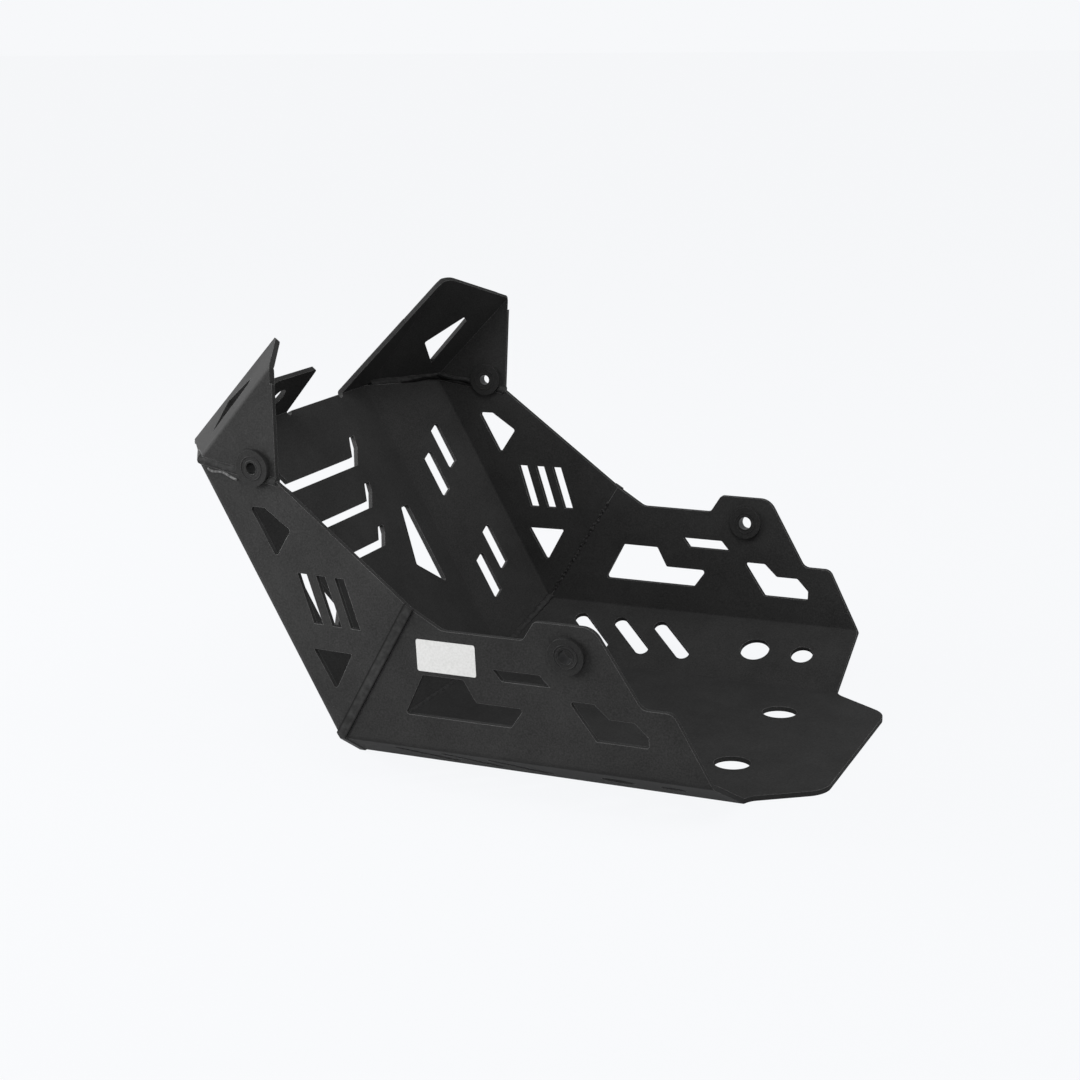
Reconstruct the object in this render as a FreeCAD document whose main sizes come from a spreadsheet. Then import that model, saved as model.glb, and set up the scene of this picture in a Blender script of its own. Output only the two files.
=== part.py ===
"""Engine guard for a motorcycle: two folded sheets welded into a tray, on rubber-mounted sleeves.

The frame has +X to the rear of the motorcycle, -Y to the rider's left and +Z up.  The guard
stands on its floor.  Both sheets are drawn from the mitre corner, the line where the outer faces
of the floor and of the front plate meet.
"""
import FreeCAD, Part
import math
import os
import Sketcher
from FreeCAD import Placement, Rotation, Vector

os.makedirs("parts", exist_ok=True)
doc = FreeCAD.newDocument("engine_guard")

# Driving dimensions, in millimetres and degrees.  Fore and aft places count from the mitre corner,
# heights from the ground, and places up the front plate from the corner along the plate.
driving = {
    # Sheet and cross-section, which both pans share
    "sheet_gauge": 3.0,
    "bend_radius": 1.5,
    "floor_half": 97.5,
    "wall_half": 150.0,
    "chamfer_rise": 27.0,
    "wall_splay": 5.4,
    "plate_angle": 61.0,
    # Lower pan: floor, tongue and wall outline
    "pan_length": 233.5,
    "tongue_length": 38.0,
    "tongue_root_half": 94.0,
    "tongue_tip_half": 68.0,
    "tongue_corner": 18.0,
    "tongue_relief": 12.0,
    "floor_hole_place": 211.0,
    "floor_hole_half": 47.0,
    "floor_hole_dia": 21.2,
    "wall_low": 97.7,
    "wall_high": 109.0,
    "dip_front": 83.0,
    "dip_rear": 130.0,
    "ear_front": 137.0,
    "ear_rear": 170.0,
    "ear_corner": 8.0,
    "step_height": 66.5,
    "step_front": 195.5,
    "step_rear": 212.5,
    "step_corner": 6.0,
    # Lower pan: cut-outs
    "cut_corner": 1.6,
    "boot_front": 57.9,
    "boot_length": 71.1,
    "boot_ankle": 24.0,
    "boot_base": 46.7,
    "boot_step": 11.8,
    "boot_height": 24.3,
    "slit_front": 111.8,
    "slit_length": 27.0,
    "slit_base": 72.9,
    "slit_height": 6.2,
    "wave_front": 154.6,
    "wave_top": 66.5,
    "wave_shelf": 58.8,
    "wave_base": 45.3,
    "wave_rear": 199.0,
    "slot_front": 57.5,
    "slot_pitch": 28.4,
    "slot_count": 3,
    "slot_span": 32.0,
    "slot_width": 9.0,
    "slot_tilt": 46.0,
    "chamfer_line": 30.1,
    "big_hole_place": 171.6,
    "big_hole_dia": 18.9,
    "small_hole_place": 203.0,
    "small_hole_dia": 14.2,
    # Front pan: outline, wings and tab
    "plate_top": 178.0,
    "wall_top_rear": -16.3,
    "wall_top_height": 170.5,
    "fold_top_place": -14.5,
    "fold_top_height": 233.2,
    "fold_corner": 3.0,
    "wing_lean_right": 51.0,
    "wing_lean_left": 44.5,
    "wing_root_half": 65.8,
    "wing_bend_half": 106.0,
    "wing_tip_right": 251.6,
    "wing_tip_left": 244.0,
    "wing_tip_corner": 13.0,
    "tab_right": 5.5,
    "tab_width": 50.5,
    "tab_length": 36.5,
    "tab_corner": 3.0,
    "tab_hole_place": 36.0,
    "tab_hole_rise": 19.0,
    "tab_hole_dia": 13.5,
    "relief_dia": 5.0,
    # Front pan: cut-outs
    "kite_front": -35.0,
    "kite_top": 155.0,
    "kite_width": 26.1,
    "kite_height": 27.6,
    "wedge_front": 1.7,
    "wedge_top": 77.3,
    "wedge_width": 25.1,
    "wedge_height": 22.6,
    "vent_front": -6.0,
    "vent_base": 92.0,
    "vent_height": 28.0,
    "vent_width": 6.0,
    "vent_pitch": 12.0,
    "vent_lean": 9.0,
    "bracket_low": 100.3,
    "bracket_pitch": 25.7,
    "bracket_spread": 2.7,
    "bracket_count": 3,
    "bracket_bar": 4.7,
    "bracket_bar_growth": 1.4,
    "bracket_half": 26.8,
    "bracket_growth": 7.65,
    "bracket_hook": 12.6,
    "bracket_hook_growth": 3.1,
    "bracket_reach": 9.1,
    "bracket_reach_growth": 1.8,
    "bracket_inset": 4.0,
    "bracket_inset_step": 1.2,
    "bracket_end": 6.4,
    "dagger_top": 117.7,
    "dagger_low": 60.2,
    "dagger_side": 79.9,
    "dagger_outer": 76.7,
    "dagger_inner": 51.5,
    "dagger_end": 9.5,
    "louvre_upper": 144.9,
    "louvre_lower": 67.9,
    "louvre_stagger": 15.2,
    "louvre_length": 29.1,
    "louvre_width": 7.5,
    "louvre_slant": 4.0,
    "louvre_outer": 36.2,
    "louvre_inner": 21.2,
    "blade_low_along": 42.5,
    "blade_low_rise": 13.8,
    "blade_side_along": 32.1,
    "blade_side_rise": 33.1,
    "blade_tip_along": 59.2,
    "blade_tip_rise": 49.1,
    "blade_end": 2.7,
    # Rubber mounts
    "rear_mount_place": 155.0,
    "rear_mount_height": 92.5,
    "front_mount_place": -30.2,
    "front_mount_height": 177.5,
    "flange_dia": 20.6,
    "flange_thick": 2.8,
    "waist_dia": 14.4,
    "rear_sleeve_dia": 11.0,
    "rear_sleeve_bore": 8.2,
    "front_sleeve_dia": 9.0,
    "front_sleeve_bore": 6.5,
    # Welds
    "bead_width": 6.2,
    "bead_proud": 0.7,
    "bead_depth": 1.4,
    "bead_crest": 0.4,
    "rod_dia": 5.4,
    "weld_clearance": 0.4,
}

dim = doc.addObject("Spreadsheet::Sheet", "dim")
for row, (alias, value) in enumerate(driving.items(), start=1):
    dim.set("A%d" % row, alias)
    dim.set("B%d" % row, str(value))
    dim.setAlias("B%d" % row, alias)
doc.recompute()


def size(alias):
    """Returns a driving dimension from the sheet."""
    return float(dim.get(alias))


def value_of(holder, place):
    """Returns the number behind a sketch place, which is a number or an expression."""
    if isinstance(place, str):
        result = holder.evalExpression(place)
        return float(getattr(result, "Value", result))
    return float(place)


def bind_place(sketch, kind, geometry, vertex, place):
    """Fixes one coordinate of a sketch vertex from the sketch origin."""
    number = sketch.addConstraint(
        Sketcher.Constraint(kind, -1, 1, geometry, vertex, value_of(sketch, place))
    )
    if isinstance(place, str):
        sketch.setExpression("Constraints[%d]" % number, place)


def new_body(label):
    body = doc.addObject("PartDesign::Body", label)
    body.Label = label
    return body


def new_sketch(body, name, role, base=None, rotation=None):
    """Adds a sketch on one of the body's own origin planes, shifted or turned where needed."""
    plane = next(feature for feature in body.Origin.OriginFeatures if feature.Role == role)
    sketch = body.newObject("Sketcher::SketchObject", name)
    sketch.AttachmentSupport = [(plane, "")]
    sketch.MapMode = "FlatFace"
    sketch.AttachmentOffset = Placement(base or Vector(), rotation or Rotation())
    return sketch


def draw_outline(sketch, corners):
    """Draws a closed outline.  A corner is (x, y) or, where it is rounded, (x, y, radius)."""
    points = [Vector(value_of(sketch, c[0]), value_of(sketch, c[1]), 0) for c in corners]
    radii = [value_of(sketch, c[2]) if len(c) > 2 else 0.0 for c in corners]
    count = len(corners)
    entries = []
    exits = []
    turns = []
    for index in range(count):
        incoming = (points[index] - points[index - 1]).normalize()
        outgoing = (points[(index + 1) % count] - points[index]).normalize()
        turn = math.atan2(incoming.cross(outgoing).z, incoming.dot(outgoing))
        reach = radii[index] * math.tan(abs(turn) / 2)
        entries.append(points[index] - incoming * reach)
        exits.append(points[index] + outgoing * reach)
        turns.append(turn)
    lines = [
        sketch.addGeometry(Part.LineSegment(exits[index], entries[(index + 1) % count]), False)
        for index in range(count)
    ]
    for index, corner in enumerate(corners):
        before = lines[index - 1]
        after = lines[index]
        if not radii[index]:
            sketch.addConstraint(Sketcher.Constraint("Coincident", before, 2, after, 1))
            bind_place(sketch, "DistanceX", after, 1, corner[0])
            bind_place(sketch, "DistanceY", after, 1, corner[1])
            continue
        outgoing = (exits[index] - points[index]).normalize()
        side = Vector(-outgoing.y, outgoing.x, 0) * math.copysign(1.0, turns[index])
        centre = exits[index] + side * radii[index]
        ends = [entries[index], exits[index]]
        if turns[index] < 0:
            ends.reverse()
        angles = [math.atan2(end.y - centre.y, end.x - centre.x) for end in ends]
        circle = Part.Circle(centre, Vector(0, 0, 1), radii[index])
        arc = sketch.addGeometry(Part.ArcOfCircle(circle, angles[0], angles[1]), False)
        first, last = (1, 2) if turns[index] > 0 else (2, 1)
        sketch.addConstraint(Sketcher.Constraint("Tangent", before, 2, arc, first))
        sketch.addConstraint(Sketcher.Constraint("Tangent", arc, last, after, 1))
        radius = sketch.addConstraint(Sketcher.Constraint("Radius", arc, radii[index]))
        if isinstance(corner[2], str):
            sketch.setExpression("Constraints[%d]" % radius, corner[2])
        sharp = sketch.addGeometry(Part.Point(points[index]), True)
        sketch.addConstraint(Sketcher.Constraint("PointOnObject", sharp, 1, before))
        sketch.addConstraint(Sketcher.Constraint("PointOnObject", sharp, 1, after))
        bind_place(sketch, "DistanceX", sharp, 1, corner[0])
        bind_place(sketch, "DistanceY", sharp, 1, corner[1])


def draw_circle(sketch, x, y, diameter):
    centre = Vector(value_of(sketch, x), value_of(sketch, y), 0)
    radius = value_of(sketch, diameter) / 2
    circle = sketch.addGeometry(Part.Circle(centre, Vector(0, 0, 1), radius), False)
    number = sketch.addConstraint(Sketcher.Constraint("Diameter", circle, 2 * radius))
    if isinstance(diameter, str):
        sketch.setExpression("Constraints[%d]" % number, diameter)
    bind_place(sketch, "DistanceX", circle, 3, x)
    bind_place(sketch, "DistanceY", circle, 3, y)


def pad(body, sketch, name, length, both_ways=False):
    feature = body.newObject("PartDesign::Pad", name)
    feature.Profile = sketch
    feature.SideType = "Symmetric" if both_ways else "One side"
    feature.setExpression("Length", length)
    return feature


def cut_through(body, sketch, name, depth=None):
    """Cuts a sketch both ways: right through, or by a given depth in all."""
    feature = body.newObject("PartDesign::Pocket", name)
    feature.Profile = sketch
    feature.SideType = "Symmetric"
    if depth:
        feature.setExpression("Length", depth)
    else:
        feature.Type = "ThroughAll"
    return feature


def mirror_across(body, feature, name):
    """Repeats a cut on the other side of the guard's middle plane."""
    middle = next(plane for plane in body.Origin.OriginFeatures if plane.Role == "XZ_Plane")
    mirrored = body.newObject("PartDesign::Mirrored", name)
    mirrored.Originals = [feature]
    mirrored.MirrorPlane = (middle, [""])
    body.Tip = mirrored
    return mirrored


# Cross-section: corners of the sheet's face that lies a given depth inside the outer face
chamfer_angle = "(atan(dim.chamfer_rise / (dim.wall_half - dim.floor_half)) / 1 deg)"
floor_turn = "tan(0.5 * %s)" % chamfer_angle
wall_turn = "tan(45 - 0.5 * dim.wall_splay - 0.5 * %s)" % chamfer_angle


def section_corners(depth, top):
    """Right-hand corners (y, z) of one face of the section: floor bend, wall bend, wall top."""
    floor_bend = ("dim.floor_half - (%s) * %s" % (depth, floor_turn), depth)
    run = "(%s) * %s" % (depth, wall_turn)
    wall_bend = (
        "dim.wall_half - (%s) * cos(dim.wall_splay) + %s * sin(dim.wall_splay)" % (depth, run),
        "dim.chamfer_rise + (%s) * sin(dim.wall_splay) + %s * cos(dim.wall_splay)" % (depth, run),
    )
    rise = "(%s - dim.chamfer_rise)" % top
    wall_top = (
        "dim.wall_half - (%s) / cos(dim.wall_splay) + %s * tan(dim.wall_splay)" % (depth, rise),
        top,
    )
    return [floor_bend, wall_bend, wall_top]


def folded_outline(outer_depth, inner_depth, top, outer_radius, inner_radius, stretch="1"):
    """Closed outline of the folded sheet between two depths, mirrored to both sides."""
    outer = section_corners(outer_depth, top)
    inner = section_corners(inner_depth, top)
    right = [
        (outer[0][0], outer[0][1], outer_radius),
        (outer[1][0], outer[1][1], outer_radius),
        outer[2],
        inner[2],
        (inner[1][0], inner[1][1], inner_radius),
        (inner[0][0], inner[0][1], inner_radius),
    ]
    half = [(c[0], "(%s) * %s" % (c[1], stretch)) + tuple(c[2:]) for c in right]
    mirrored = [("-(%s)" % c[0],) + tuple(c[1:]) for c in reversed(half)]
    return half + mirrored


def draw_section(sketch, top):
    draw_outline(
        sketch,
        folded_outline(
            "0", "dim.sheet_gauge", top, "dim.bend_radius + dim.sheet_gauge", "dim.bend_radius"
        ),
    )


def level_place(depth):
    """Fore and aft place, at the top cut, of what lies at a depth behind the plate's outer face."""
    return "(%s - dim.plate_top * cos(dim.plate_angle)) / sin(dim.plate_angle)" % depth


# The mitre corner stands where the guard's middle, fore and aft, is at the origin
front_most = "(%s - dim.sheet_gauge)" % level_place("dim.sheet_gauge")
corner_place = "-0.5 * (dim.pan_length + dim.tongue_length + %s)" % front_most

# Lower pan: floor, chamfers and walls folded from one sheet
mitre_run = "tan(0.5 * dim.plate_angle)"
wall_reach = "(dim.wall_high + 20)"

lower = new_body("lower_sheet")
lower_section = new_sketch(lower, "lower_section", "YZ_Plane")
draw_section(lower_section, wall_reach)
pad(lower, lower_section, "lower_fold", "dim.pan_length + dim.tongue_length")

# Side outline: everything ahead of the mitre and above the wall's top edge goes
lower_waste = new_sketch(lower, "lower_wall_waste", "XZ_Plane")
draw_outline(
    lower_waste,
    [
        ("-10 * %s" % mitre_run, "-10"),
        ("dim.wall_high * %s" % mitre_run, "dim.wall_high"),
        ("dim.dip_front", "dim.wall_low", "dim.ear_corner"),
        ("dim.dip_rear", "dim.wall_low", "0.5 * dim.ear_corner"),
        ("dim.ear_front", "dim.wall_high", "0.4 * dim.ear_corner"),
        ("dim.ear_rear", "dim.wall_high", "1.4 * dim.ear_corner"),
        ("dim.step_front", "dim.step_height", "dim.step_corner"),
        ("dim.step_rear", "dim.step_height", "dim.step_corner"),
        ("dim.pan_length", "dim.chamfer_rise"),
        ("dim.pan_length + dim.tongue_length + 10", "dim.chamfer_rise"),
        ("dim.pan_length + dim.tongue_length + 10", wall_reach + " + 10"),
        ("-40", wall_reach + " + 10"),
        ("-40", "-10"),
    ],
)
cut_through(lower, lower_waste, "lower_wall_outline")

# Tongue: the chamfers end at the pan's length and the floor runs on, narrowing to the rear
tongue_waste = new_sketch(lower, "tongue_waste", "XY_Plane")
tongue_end = "(dim.pan_length + dim.tongue_length)"
draw_outline(
    tongue_waste,
    [
        ("dim.pan_length", "dim.wall_half + 30"),
        ("dim.pan_length", "dim.tongue_root_half", "dim.tongue_relief"),
        (tongue_end, "dim.tongue_tip_half", "dim.tongue_corner"),
        (tongue_end, "0"),
        (tongue_end + " + 10", "0"),
        (tongue_end + " + 10", "dim.wall_half + 30"),
    ],
)
tongue_cut = cut_through(lower, tongue_waste, "tongue_outline")
mirror_across(lower, tongue_cut, "tongue_outline_left")

floor_holes = new_sketch(lower, "floor_holes", "XY_Plane")
for side in ("", "-"):
    draw_circle(floor_holes, "dim.floor_hole_place", side + "dim.floor_hole_half", "dim.floor_hole_dia")
cut_through(lower, floor_holes, "floor_hole_pair")

# Wall cut-outs: a boot-shaped window, a slit under the rear mount and a wave-shaped window
wall_windows = new_sketch(lower, "lower_wall_windows", "XZ_Plane")
corner = "dim.cut_corner"
boot_slope = "(0.5 * dim.boot_height)"
draw_outline(
    wall_windows,
    [
        ("dim.boot_front", "dim.boot_base", corner),
        ("dim.boot_front + dim.boot_length - 0.7 * dim.boot_step", "dim.boot_base", corner),
        ("dim.boot_front + dim.boot_length", "dim.boot_base + dim.boot_step", corner),
        (
            "dim.boot_front + dim.boot_ankle + %s + 0.6 * dim.boot_step" % boot_slope,
            "dim.boot_base + dim.boot_step",
            corner,
        ),
        (
            "dim.boot_front + dim.boot_ankle + %s" % boot_slope,
            "dim.boot_base + dim.boot_height",
            corner,
        ),
        ("dim.boot_front + %s" % boot_slope, "dim.boot_base + dim.boot_height", corner),
    ],
)
draw_outline(
    wall_windows,
    [
        ("dim.slit_front + 0.8 * dim.slit_height", "dim.slit_base"),
        ("dim.slit_front + dim.slit_length + 0.9 * dim.slit_height", "dim.slit_base"),
        ("dim.slit_front + dim.slit_length", "dim.slit_base + dim.slit_height", corner),
        ("dim.slit_front", "dim.slit_base + dim.slit_height"),
    ],
)
wave_drop = "(dim.wave_top - dim.wave_base)"
draw_outline(
    wall_windows,
    [
        ("dim.wave_front", "dim.wave_top", corner),
        ("dim.wave_front + 0.71 * %s" % wave_drop, "dim.wave_base", corner),
        ("dim.wave_rear", "dim.wave_base", corner),
        ("dim.wave_rear", "dim.wave_base + 0.28 * %s" % wave_drop, corner),
        ("dim.wave_rear - 0.36 * %s" % wave_drop, "dim.wave_shelf", corner),
        ("dim.wave_front + 1.08 * %s" % wave_drop, "dim.wave_shelf", corner),
        ("dim.wave_front + 0.68 * %s" % wave_drop, "dim.wave_top", corner),
    ],
)
cut_through(lower, wall_windows, "lower_wall_cut_outs")

# Chamfer cut-outs: three oblique slots and two holes, drawn on the chamfer and mirrored
chamfer_cuts = new_sketch(lower, "lower_chamfer_cuts", "XY_Plane", None, Rotation(Vector(1, 0, 0), 1))
chamfer_cuts.setExpression(".AttachmentOffset.Base.y", "dim.floor_half")
chamfer_cuts.setExpression(".AttachmentOffset.Rotation.Angle", chamfer_angle)


def draw_oblique_slot(sketch, middle):
    """Round-ended slot that falls to the rear, as four corners rounded by half its width."""
    half_run = "0.5 * (dim.slot_span + dim.slot_width)"
    across = "0.5 * dim.slot_width"
    corners = []
    for along, over in (("-", "-"), ("", "-"), ("", ""), ("-", "")):
        x = "%s + %s%s * cos(dim.slot_tilt) + %s%s * sin(dim.slot_tilt)" % (
            middle, along, half_run, over, across
        )
        y = "dim.chamfer_line - (%s%s * sin(dim.slot_tilt)) + %s%s * cos(dim.slot_tilt)" % (
            along, half_run, over, across
        )
        corners.append((x, y, "0.49 * dim.slot_width"))
    draw_outline(sketch, corners)


for index in range(int(size("slot_count"))):
    draw_oblique_slot(chamfer_cuts, "dim.slot_front + %d * dim.slot_pitch" % index)
draw_circle(chamfer_cuts, "dim.big_hole_place", "dim.chamfer_line", "dim.big_hole_dia")
draw_circle(chamfer_cuts, "dim.small_hole_place", "dim.chamfer_line", "dim.small_hole_dia")
chamfer_cut = cut_through(lower, chamfer_cuts, "lower_chamfer_cut_outs", "4 * dim.sheet_gauge")
mirror_across(lower, chamfer_cut, "lower_chamfer_cut_outs_left")
lower.setExpression(".Placement.Base.x", corner_place)

# Front pan: the same section, laid back by the plate angle.  Its own x runs down the plate to the
# mitre and its own z points into the tray.
front = new_body("front_sheet")
front_section = new_sketch(front, "front_section", "YZ_Plane")
draw_section(front_section, wall_reach)
front_fold = pad(front, front_section, "front_fold", "dim.plate_top / sin(dim.plate_angle) + 25")
front_fold.Reversed = True


def upright_sketch(name):
    """Sketch on the front pan's middle plane, turned back so that its axes are level and plumb."""
    sketch = new_sketch(front, name, "XZ_Plane", None, Rotation(Vector(0, 0, 1), 1))
    sketch.setExpression(".AttachmentOffset.Rotation.Angle", "dim.plate_angle")
    return sketch


# Side outline: the walls end along the slit below the wings, and the plate at the top cut
bend_depth = section_corners("dim.sheet_gauge", "0")[1][1]
front_waste = upright_sketch("front_wall_waste")
draw_outline(
    front_waste,
    [
        ("-10 * %s" % mitre_run, "-10"),
        ("dim.wall_high * %s" % mitre_run, "dim.wall_high"),
        ("dim.wall_top_rear", "dim.wall_top_height"),
        (level_place("(%s)" % bend_depth), "dim.plate_top"),
        (level_place("dim.sheet_gauge"), "dim.plate_top"),
        (
            level_place("dim.sheet_gauge") + " - 10 * sin(dim.plate_angle)",
            "dim.plate_top - 10 * cos(dim.plate_angle)",
        ),
        ("-dim.plate_top - 40", "dim.plate_top"),
        ("-dim.plate_top - 40", "dim.plate_top + 120"),
        ("dim.plate_top", "dim.plate_top + 120"),
        ("dim.plate_top", "-10"),
    ],
)
cut_through(front, front_waste, "front_wall_outline")

# Wall cut-outs: a kite, a wedge and three leaning vents between them
front_windows = upright_sketch("front_wall_windows")
draw_outline(
    front_windows,
    [
        ("dim.kite_front", "dim.kite_top", corner),
        ("dim.kite_front + 0.6 * dim.kite_width", "dim.kite_top - dim.kite_height", corner),
        ("dim.kite_front + dim.kite_width", "dim.kite_top - 0.4 * dim.kite_height", corner),
        ("dim.kite_front + 0.38 * dim.kite_width", "dim.kite_top", corner),
    ],
)
draw_outline(
    front_windows,
    [
        ("dim.wedge_front", "dim.wedge_top", "0.5 * dim.cut_corner"),
        ("dim.wedge_front + 0.53 * dim.wedge_width", "dim.wedge_top - dim.wedge_height", corner),
        ("dim.wedge_front + dim.wedge_width", "dim.wedge_top", "0.5 * dim.cut_corner"),
    ],
)
for index in range(3):
    foot = "dim.vent_front + %d * dim.vent_pitch" % index
    draw_outline(
        front_windows,
        [
            (foot + " + dim.vent_lean", "dim.vent_base"),
            (foot + " + dim.vent_lean + dim.vent_width", "dim.vent_base"),
            (foot + " + dim.vent_width", "dim.vent_base + dim.vent_height"),
            (foot, "dim.vent_base + dim.vent_height"),
        ],
    )
cut_through(front, front_windows, "front_wall_cut_outs")

# Plate cut-outs: three brackets, wider upwards, a pair of daggers, and round bend reliefs
plate_cuts = new_sketch(front, "plate_cuts", "XY_Plane")
for index in range(int(size("bracket_count"))):
    extra = index * (index - 1) // 2
    base = "dim.bracket_low + %d * dim.bracket_pitch + %d * dim.bracket_spread" % (index, extra)
    bar = "dim.bracket_bar + %d * dim.bracket_bar_growth" % extra
    inset = "(dim.bracket_inset - %d * dim.bracket_inset_step)" % index
    half = "dim.bracket_half + %d * dim.bracket_growth" % index
    hook = "(dim.bracket_hook + %d * dim.bracket_hook_growth)" % index
    reach = "(dim.bracket_reach + %d * dim.bracket_reach_growth)" % index
    right_end = [
        ("-(%s)" % base, half, corner),
        ("-(%s + 0.6 * %s)" % (base, hook), "%s + 0.78 * %s" % (half, reach), corner),
        ("-(%s + %s)" % (base, hook), "%s + %s" % (half, reach)),
        ("-(%s + %s)" % (base, hook), "%s + %s - dim.bracket_end" % (half, reach), corner),
        ("-(%s + %s)" % (base, bar), "%s - %s" % (half, inset)),
    ]
    left_end = [(c[0], "-(%s)" % c[1]) + tuple(c[2:]) for c in reversed(right_end)]
    draw_outline(plate_cuts, right_end + left_end)
for side in ("", "-"):
    draw_outline(
        plate_cuts,
        [
            ("-dim.dagger_top", side + "dim.dagger_outer", corner),
            ("-dim.dagger_top", side + "(dim.dagger_outer - dim.dagger_end)", corner),
            ("-dim.dagger_side", side + "dim.dagger_inner", corner),
            ("-dim.dagger_low", side + "dim.dagger_outer", corner),
        ],
    )
cut_through(front, plate_cuts, "plate_cut_outs", "4 * dim.sheet_gauge")

plate_edge = "(dim.sheet_gauge * cos(dim.plate_angle) - dim.plate_top) / sin(dim.plate_angle)"
plate_reliefs = new_sketch(front, "plate_reliefs", "XY_Plane")
for place in (
    "dim.wing_root_half - 0.5 * dim.relief_dia",
    "0.5 * dim.relief_dia - dim.wing_root_half",
    "0.5 * dim.relief_dia - dim.tab_right",
    "-dim.tab_right - dim.tab_width - 0.5 * dim.relief_dia",
):
    draw_circle(plate_reliefs, plate_edge, place, "dim.relief_dia")
cut_through(front, plate_reliefs, "bend_reliefs", "4 * dim.sheet_gauge")

# Chamfer cut-outs: two staggered pairs of slanted louvres, mirrored
louvres = new_sketch(front, "louvre_cuts", "XY_Plane", None, Rotation(Vector(1, 0, 0), 1))
louvres.setExpression(".AttachmentOffset.Base.y", "dim.floor_half")
louvres.setExpression(".AttachmentOffset.Rotation.Angle", chamfer_angle)
for pair in ("dim.louvre_upper", "dim.louvre_lower"):
    for middle, line in (
        (pair, "dim.louvre_outer"),
        ("(%s - dim.louvre_stagger)" % pair, "dim.louvre_inner"),
    ):
        draw_outline(
            louvres,
            [
                (
                    "-%s + 0.5 * dim.louvre_length" % middle,
                    "%s + 0.5 * dim.louvre_width" % line,
                ),
                (
                    "-%s - 0.5 * dim.louvre_length" % middle,
                    "%s + 0.5 * dim.louvre_width" % line,
                    corner,
                ),
                (
                    "-%s - 0.5 * dim.louvre_length + dim.louvre_slant" % middle,
                    "%s - 0.5 * dim.louvre_width" % line,
                ),
                (
                    "-%s + 0.5 * dim.louvre_length + dim.louvre_slant" % middle,
                    "%s - 0.5 * dim.louvre_width" % line,
                    corner,
                ),
            ],
        )
louvre_cut = cut_through(front, louvres, "louvre_cut_outs", "4 * dim.sheet_gauge")
mirror_across(front, louvre_cut, "louvre_cut_outs_left")
front.Placement = Placement(Vector(), Rotation(Vector(0, 1, 0), 1))
front.setExpression(".Placement.Base.x", corner_place)
front.setExpression(".Placement.Rotation.Angle", "dim.plate_angle")
doc.recompute()


# Places and directions in the guard's frame
gauge = size("sheet_gauge")
splay = math.radians(size("wall_splay"))
laid_back = math.radians(size("plate_angle"))
lower_wall_normal = Vector(0, math.cos(splay), -math.sin(splay))
front_wall_normal = Rotation(Vector(0, 1, 0), size("plate_angle")).multVec(lower_wall_normal)


def guard_point(place, y, height):
    return Vector(value_of(lower_section, corner_place) + place, y, height)


def wall_point(place, height, depth, rise):
    """Point on the right wall, a depth inside its outer face; rise is the height in its own pan."""
    y = size("wall_half") - depth / math.cos(splay)
    y += (rise - size("chamfer_rise")) * math.tan(splay)
    return guard_point(place, y, height)


def front_wall_point(place, height, depth):
    rise = place * math.sin(laid_back) + height * math.cos(laid_back)
    return wall_point(place, height, depth, rise)


def lower_wall_point(place, height, depth):
    return wall_point(place, height, depth, height)


def framed(origin, along, facing):
    """Placement whose z faces one direction and whose x runs along another as far as it can."""
    z = Vector(facing).normalize()
    x = (along - z * along.dot(z)).normalize()
    return Placement(origin, Rotation(x, z.cross(x), z, "ZXY"))


def as_places(placement, points):
    """Sketch places, in a placement's own plane, of points in the guard's frame."""
    locals_ = [placement.inverse().multVec(point) for point in points]
    return [(point.x, point.y) for point in locals_]


# Wing folds, on the inner face of the sheet: root, bend foot, slit corner, fold top and tip
plate_inner = guard_point(value_of(front_waste, level_place("dim.sheet_gauge")), 0, size("plate_top"))
wing_root = plate_inner + Vector(0, size("wing_root_half"), 0)
bend_foot = plate_inner + Vector(0, size("wing_bend_half"), 0)
slit_corner = guard_point(
    value_of(front_waste, level_place("(%s)" % bend_depth)),
    value_of(front_waste, section_corners("dim.sheet_gauge", "0")[1][0]),
    size("plate_top"),
)
slit_end = front_wall_point(size("wall_top_rear"), size("wall_top_height"), gauge)
fold_top = front_wall_point(size("fold_top_place"), size("fold_top_height"), gauge)

plate_normal = Vector(-math.sin(laid_back), 0, -math.cos(laid_back))
side_normal = (fold_top - slit_corner).cross(slit_corner - bend_foot).normalize()


def root_facing(hand):
    """Outward direction of the facet that is bent back from the plate's top edge."""
    lean = math.radians(size("wing_lean_" + hand))
    return Vector(-math.sin(lean), 0, math.cos(lean))


def make_facet(label, corners, normal):
    """Flat stretch of the folded sheet on its inner corners, thickened outwards."""
    facet = new_body(label)
    facet.Placement = framed(corners[0], corners[1] - corners[0], normal)
    outline = new_sketch(facet, label + "_outline", "XY_Plane")
    draw_outline(outline, as_places(facet.Placement, corners))
    pad(facet, outline, label + "_pad", "dim.sheet_gauge")
    return facet


def make_bend(label, start, end, first_normal, last_normal):
    """Outer round of a bend between two facets, along their inner bend line."""
    axis = first_normal.cross(last_normal)
    foot = start if axis.dot(end - start) > 0 else end
    bend = doc.addObject("Part::Cylinder", label)
    bend.setExpression("Radius", "dim.sheet_gauge")
    bend.Height = (end - start).Length
    bend.Angle = math.degrees(first_normal.getAngle(last_normal))
    x = Vector(first_normal).normalize()
    z = Vector(axis).normalize()
    bend.Placement = Placement(foot, Rotation(x, z.cross(x), z, "ZXY"))
    return bend


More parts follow.
